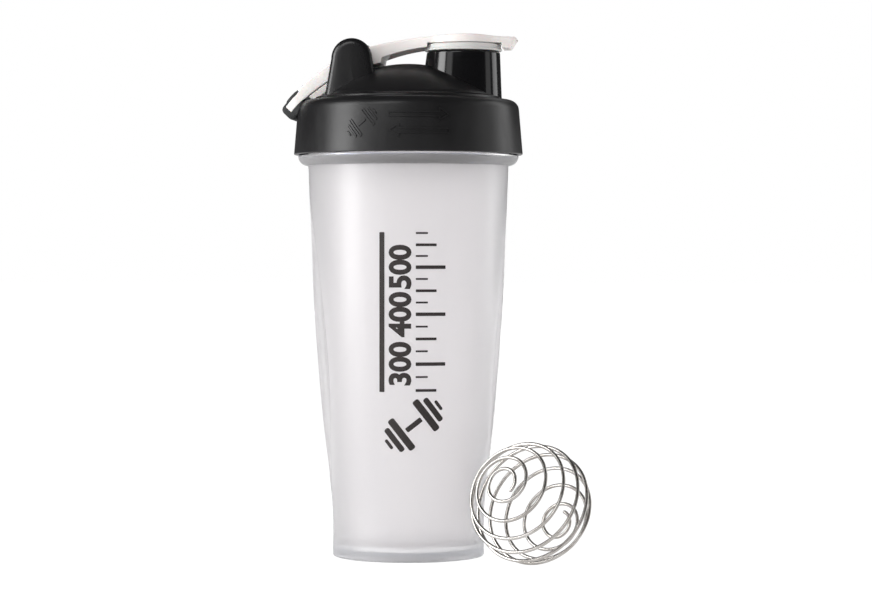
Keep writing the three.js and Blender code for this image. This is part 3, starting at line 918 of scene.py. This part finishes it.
def loopPath(begin, steps=26):
    # the band's middle line as (share along the side curve, y): one leg, the bar, the other leg
    middle = (ringInner + ringOuter) / 2
    barAt = 1 - loop["bar"] / loopLength
    corner = loop["corner"]
    cornerShare = corner / loopLength
    path = [(share, -middle) for share in spread(begin, barAt - cornerShare, steps)]
    for angle in spread(0, 90, 14)[1:]:
        turn = math.radians(angle)
        path.append((barAt - cornerShare * (1 - math.sin(turn)), -middle + corner * (1 - math.cos(turn))))
    path += [(barAt, y) for y in spread(corner - middle, middle - corner, 12)[1:-1]]
    return path + [(share, -y) for share, y in reversed(path[:steps + 15])]


def bandSweep(path, ringAt):
    # carries a ring along the band; ringAt gives points as (inward, out of the band)
    sections = []
    for i, (share, y) in enumerate(path):
        low, high = path[max(i - 1, 0)], path[min(i + 1, len(path) - 1)]
        ahead = Vector(((high[0] - low[0]) * loopLength, high[1] - low[1])).normalized()
        centre, along, out = loopFrame(share)
        inward = along * -ahead.y + Vector((0, ahead.x, 0))
        bar = abs(ahead.y)
        sections.append([centre + Vector((0, y, 0)) + inward * u + out * v for u, v in ringAt(share, bar, i)])
    return lofted(sections)


def makeLoop():
    def ring(share, bar, i):
        deep = mixed(loop["rootHalf"], loop["endHalf"], share)
        under = smooth(loop["gripStart"] - 0.01, loop["gripStart"] + 0.02, share)
        wide = mixed(loop["band"], loop["bar"], bar)
        outline = roundedBox(wide, deep - loop["recess"] * under / 2, loop["edge"])
        return [(u, v - loop["recess"] * under / 2) for u, v in outline]

    band = bandSweep(loopPath(0.11), ring)
    made = place("loop_band", *band, loopPlastic, "loop_plastic", "loop", 50)
    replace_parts(made, "carry_loop")
    hole, outer = lid["pin"] + 0.3, arm["hub"]
    for side, name in ((-1, "loop_ring_front"), (1, "loop_ring_back")):
        low, high = sorted((side * ringInner, side * ringOuter))
        outline = filleted([
            (hole, low + 1), (hole, low, 0.3), (outer, low, 0.5), (outer, high, 0.5), (hole, high, 0.3),
            (hole, low + 1),
        ], 5)[:-1]
        points, faces = turned([tuple(p) for p in outline], 72, (hinge.x, 0, hinge.z), True, "Y")
        place(name, points, faces, loopPlastic, "loop_plastic", "loop", 50)


def makeGrip():
    start = loop["gripStart"]

    def ring(share, bar, i):
        # thin above, thick below, open to the band's outer side on the legs and closed round the bar
        deep = mixed(loop["rootHalf"], loop["endHalf"], share)
        grow = smooth(start - 0.015, start + 0.06, share)
        high = deep + loop["proud"] * grow - 0.02 * (1 - grow)
        low = -deep - mixed(0.25, loop["under"], smooth(start, 1 - loop["bar"] / loopLength, share)) * grow
        wide = mixed(loop["band"], loop["bar"], bar)
        outside = -wide + 0.12 - (0.12 + loop["end"]) * smooth(0.93, 0.995, bar)
        inside = wide + 0.35
        outline = roundedBox((inside - outside) / 2, (high - low) / 2, mixed(0.75, 2.2, smooth(0.6, 1, bar)), 5)
        return [(u + (inside + outside) / 2, v + (high + low) / 2) for u, v in outline]

    grip = bandSweep(loopPath(start, 12), ring)
    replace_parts(place("loop_grip_soft", *grip, gripRubber, "grip_rubber", "loop", 50), "loop_grip")


makeLoop()
makeGrip()
print("carry loop is made")


# ---- whisk ball ----

ball = {
    "radius": 26.1, "wire": 0.78, "turns": 9.33, "phase": -70, "loopRadius": 6.1, "loopTurns": 0.6,
    "axis": (-0.433, -0.79, 0.43), "sides": 14, "steps": 1100,
}


def makeBall():
    centre = (ballLow + ballHigh) / 2
    reach = ball["radius"] - ball["wire"]
    polarCap = math.asin(ball["loopRadius"] / reach)
    tilt = Vector((0, 0, 1)).rotation_difference(Vector(ball["axis"]).normalized())

    def wireAt(t):
        turns = ball["turns"] * t
        share = min(max((turns - ball["loopTurns"]) / (ball["turns"] - 2 * ball["loopTurns"]), 0), 1)
        polar = polarCap + (math.pi - 2 * polarCap) * share
        angle = math.radians(ball["phase"]) + 2 * math.pi * turns
        return tilt @ Vector((math.sin(polar) * math.cos(angle), math.sin(polar) * math.sin(angle), math.cos(polar)))

    path = [wireAt(i / ball["steps"]) for i in range(ball["steps"] + 1)]
    angles = spread(0, 2 * math.pi, ball["sides"])[:-1]
    ring = [(math.cos(a) * ball["wire"], math.sin(a) * ball["wire"]) for a in angles]
    sections = []
    for i, out in enumerate(path):
        ahead = (path[min(i + 1, ball["steps"])] - path[max(i - 1, 0)]).normalized()
        side = ahead.cross(out).normalized()
        end = min(i, ball["steps"] - i)
        shrink = math.sqrt(1 - (1 - end / 3) ** 2) * 0.9 + 0.1 if end < 3 else 1
        sections.append([centre + out * (reach + u * shrink) + side * v * shrink for u, v in ring])
    made = place("ball_wire", *lofted(sections), wireSteel, "wire_steel", "ball", 60)
    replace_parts(made, "whisk_ball")


makeBall()
print("whisk ball is made")


# ---- printed scale and raised marks ----

marks = {
    "turn": -83.2, "ink": 0.12, "sunk": 0.06, "low": 250, "high": 575, "step": 25, "numbers": (300, 400, 500),
    "digit": 12.6, "digitAt": -0.2, "bold": 0.45, "rule": (-13.4, -11.2), "tickAt": 2.2,
    "ticks": {100: (13.0, 1.5), 50: (9.0, 1.15), 25: (5.2, 0.8)},
    "weight": (1.5, 59.5, 38), "relief": 0.42, "reliefLine": 0.62,
}


def wrapped(name, points, faces, surface, thickness, material, body):
    # flat faces in (along, up), cut fine enough to bend, thickened and laid round the bottle
    mesh = bpy.data.meshes.new(name)
    mesh.from_pydata([(p[0], p[1], 0) for p in points], [], faces)
    work = bmesh.new()
    work.from_mesh(mesh)
    bmesh.ops.remove_doubles(work, verts=work.verts, dist=1e-4)
    low = min(v.co.x for v in work.verts)
    high = max(v.co.x for v in work.verts)
    bottom = min(v.co.y for v in work.verts)
    top = max(v.co.y for v in work.verts)
    cuts = [((at, 0, 0), (1, 0, 0)) for at in spread(low, high, max(int((high - low) / 1.3), 1))[1:-1]]
    cuts += [((0, at, 0), (0, 1, 0)) for at in spread(bottom, top, max(int((top - bottom) / 6), 1))[1:-1]]
    for at, way in cuts:
        parts = work.verts[:] + work.edges[:] + work.faces[:]
        bmesh.ops.bisect_plane(work, geom=parts, plane_co=at, plane_no=way, dist=1e-5)
    bmesh.ops.recalc_face_normals(work, faces=work.faces)
    raised = bmesh.ops.extrude_face_region(work, geom=work.faces[:])["geom"]
    base = set(work.verts)
    for v in raised:
        if isinstance(v, bmesh.types.BMVert):
            v.co.z = thickness
            base.discard(v)
    for v in base:
        v.co.z = -marks["sunk"]
    for v in work.verts:
        radius = surface(v.co.y) + v.co.z
        angle = math.radians(marks["turn"]) + v.co.x / surface(v.co.y)
        v.co = Vector((radius * math.cos(angle), radius * math.sin(angle), v.co.y)) * mm
    bmesh.ops.recalc_face_normals(work, faces=work.faces)
    work.to_mesh(mesh)
    work.free()
    return settle(bpy.data.objects.new(name, mesh), material, body, 30)


def block(left, right, low, high, rounding=0.3, turn=0, about=(0, 0)):
    # a flat rectangle with rounded corners, turned about a point
    ring = roundedBox((right - left) / 2, (high - low) / 2, rounding, 3)
    middle = Vector(((left + right) / 2, (low + high) / 2))
    spin = Matrix.Rotation(math.radians(turn), 2)
    points = [Vector(about) + spin @ (middle + Vector(p)) for p in ring]
    return points, [tuple(range(len(points)))]


def outlined(left, right, low, high, rounding, line, turn=0, about=(0, 0)):
    # the same rectangle as a raised line round its edge
    outer = block(left, right, low, high, rounding, turn, about)[0]
    inner = block(left + line, right - line, low + line, high - line, max(rounding - line, 0.15), turn, about)[0]
    count = len(outer)
    faces = [(k, (k + 1) % count, (k + 1) % count + count, k + count) for k in range(count)]
    return outer + inner, faces


def numeral(value, along, up):
    # digits turned to read upwards, as flat faces
    curve = bpy.data.curves.new("numeral", "FONT")
    curve.body = str(value)
    curve.size = marks["digit"]
    curve.offset = marks["bold"]
    curve.resolution_u = 5
    curve.align_x = "CENTER"
    made = bpy.data.objects.new("numeral", curve)
    bpy.context.scene.collection.objects.link(made)
    bpy.context.view_layer.update()
    mesh = bpy.data.meshes.new_from_object(made.evaluated_get(bpy.context.evaluated_depsgraph_get()))
    points = [Vector((along - v.co.y, up + v.co.x)) for v in mesh.vertices]
    faces = [tuple(face.vertices) for face in mesh.polygons]
    bpy.data.objects.remove(made)
    return points, faces


def levelOf(volume):
    # the height inside the cup that holds so many millilitres
    held, z = 0.0, cup["floor"]
    while held < volume * 1000:
        held += math.pi * (wallRadius(z) - cup["wall"]) ** 2 * 0.25
        z += 0.25
    return z


def weightMark(about, size, turn, shape, line=None):
    # a dumbbell: a bar with two plates and a collar at each end
    more = (line,) if line else ()
    parts = [shape(-2.6 * size, 2.6 * size, -0.7 * size, 0.7 * size, 0.3 * size, *more, turn, about)]
    for side in (-1, 1):
        for near, far, half in ((3.3, 5.3, 5.2), (6.0, 7.6, 3.9), (8.3, 9.2, 1.6)):
            left, right = sorted((side * near * size, side * far * size))
            parts.append(shape(left, right, -half * size, half * size, 0.6 * size, *more, turn, about))
    return joined(*parts)


def makeInk():
    parts = [block(*marks["rule"], levelOf(marks["low"]) - 0.7, levelOf(marks["high"]) + 0.4)]
    for volume in range(marks["low"], marks["high"] + 1, marks["step"]):
        length, thick = next(marks["ticks"][size] for size in (100, 50, 25) if volume % size == 0)
        z = levelOf(volume)
        parts.append(block(marks["tickAt"], marks["tickAt"] + length, z - thick / 2, z + thick / 2, 0.2))
    for volume in marks["numbers"]:
        parts.append(numeral(volume, marks["digitAt"], levelOf(volume)))
    along, up, turn = marks["weight"]
    parts.append(weightMark((along, up), 1.55, turn, block))
    points, faces = joined(*parts)
    wrapped("printed_scale", points, faces, wallRadius, marks["ink"], inkPaint, "cup")


def skirtAt(z):
    share = (z - lidLow.z) / (shoulderZ - lidLow.z)
    return mixed(skirtFootRadius, skirtRadius, share)


def stroked(corners, line):
    # raised lines from corner to corner, round to the first again
    parts = []
    for start, end in zip(corners, corners[1:] + corners[:1]):
        way = Vector(end) - Vector(start)
        half = way.length / 2 + line / 2
        turn = math.degrees(math.atan2(way.y, way.x))
        middle = (Vector(start) + Vector(end)) / 2
        parts.append(block(-half, half, -line / 2, line / 2, line * 0.45, turn, middle))
    return joined(*parts)


def arrow(left, right, up, way):
    # the outline of an arrow that points along the skirt
    tip, tail = (right, left) if way > 0 else (left, right)
    neck = tip - way * 4.2
    return stroked([
        (tail, up - 0.9), (neck, up - 0.9), (neck, up - 2.6), (tip, up), (neck, up + 2.6), (neck, up + 0.9),
        (tail, up + 0.9),
    ], marks["reliefLine"])


def makeRelief():
    middle = (lidLow.z + shoulderZ) / 2 + 0.4
    line = marks["reliefLine"]
    emblem = weightMark((-21.5, middle), 0.86, 38, outlined, line)
    arrows = [arrow(-9.5, 16.5, middle + 3.5, 1), arrow(-9.5, 16.5, middle - 3.5, -1)]
    points, faces = joined(emblem, *arrows)
    wrapped("skirt_relief", points, faces, skirtAt, marks["relief"], lidPlastic, "lid")


makeInk()
makeRelief()
print("printed and raised marks are made")


# ---- floor, world and lights ----

studio = {
    "floor": 12.0, "floorGlow": 0.88, "floorDim": 0.35, "glow": 1.12, "seen": 1.0, "backdrop": 1.18, "aside": 0.34,
    "mirrored": 0.05, "soft": 0.62, "tint": (1.0, 0.99, 0.99), "asideTint": (0.90, 0.95, 1.0),
}


def makeFloor():
    size = studio["floor"]
    mesh = bpy.data.meshes.new("floor")
    mesh.from_pydata([(-size, -size, 0), (size, -size, 0), (size, size, 0), (-size, size, 0)], [], [(0, 1, 2, 3)])
    floor = bpy.data.objects.new("floor", mesh)
    bpy.context.scene.collection.objects.link(floor)
    floor.location.z = -0.0001
    material, shade, _ = newMaterial("floor")
    matt = shade.make("ShaderNodeBsdfDiffuse", {}, {"Color": (0.9, 0.9, 0.9, 1)})
    glow = shade.make("ShaderNodeEmission", {}, {"Color": (1, 1, 1, 1), "Strength": studio["glow"]})
    seen = shade.make("ShaderNodeLightPath", output=0)
    through = shade.make("ShaderNodeLightPath", output=6)
    share = (seen + through) * (studio["floorGlow"] - studio["floorDim"]) + studio["floorDim"]
    both = shade.make("ShaderNodeMixShader", {}, {0: share, 1: matt, 2: glow})
    shade.make("ShaderNodeOutputMaterial", {}, {0: both})
    mesh.materials.append(material)


def makeWorld():
    world = bpy.data.worlds.new("studio")
    bpy.context.scene.world = world
    world.use_nodes = True
    world.node_tree.nodes.clear()
    shade = Shade(world.node_tree)
    toCamera = shade.make("ShaderNodeLightPath", output=0)
    through = shade.make("ShaderNodeLightPath", output=6)
    glossy = shade.make("ShaderNodeLightPath", output=3) * (1 - through)
    direction = shade.make("ShaderNodeTexCoord", output=0)
    both = {0: direction, 1: tuple(forward)}
    ahead = shade.make("ShaderNodeVectorMath", {"operation": "DOT_PRODUCT"}, both, output=1)
    backdrop = ahead.between(0.35, 0.95)
    behind = backdrop * (studio["backdrop"] - studio["aside"]) + studio["aside"]
    level = studio["soft"] + toCamera * (studio["seen"] - studio["soft"])
    level = level + glossy * (studio["mirrored"] - studio["soft"]) + through * (behind - studio["soft"])
    colour = (through * (1 - backdrop)).mixColour(studio["tint"], studio["asideTint"])
    colour = toCamera.mixColour(colour, (1, 1, 1))
    sky = shade.make("ShaderNodeBackground", {}, {0: colour, 1: level})
    shade.make("ShaderNodeOutputWorld", {}, {0: sky})


def softbox(name, azimuth, distance, height, wide, tall, power, colour=(1, 1, 1)):
    # a soft light at an angle round from the camera, aimed at the bottle's middle
    data = bpy.data.lights.new(name, "AREA")
    data.shape = "RECTANGLE"
    data.size = wide
    data.size_y = tall
    data.energy = power
    data.color = colour
    made = bpy.data.objects.new(name, data)
    bpy.context.scene.collection.objects.link(made)
    turn = math.radians(azimuth)
    away = rightward * math.sin(turn) - forward * math.cos(turn)
    made.location = away * distance + Vector((0, 0, height))
    aim = Vector((0, 0, 0.12)) - made.location
    made.rotation_euler = aim.to_track_quat("-Z", "Y").to_euler()


makeFloor()
makeWorld()
softbox("left_box", -69, 1.0, 0.30, 0.42, 0.95, 10)
softbox("left_soft", -42, 1.1, 0.30, 0.34, 0.95, 1.5)
softbox("right_soft", 82, 1.0, 0.35, 0.30, 0.9, 0.7)
softbox("right_box", 112, 0.9, 0.35, 0.36, 0.9, 2.3)
softbox("front_fill", -24, 2.2, 1.5, 1.2, 0.9, 12)
softbox("top_box", 160, 0.9, 0.9, 0.9, 0.5, 0.7)
bpy.context.scene.view_settings.view_transform = "Standard"
bpy.context.scene.view_settings.look = "None"
print("studio is lit")
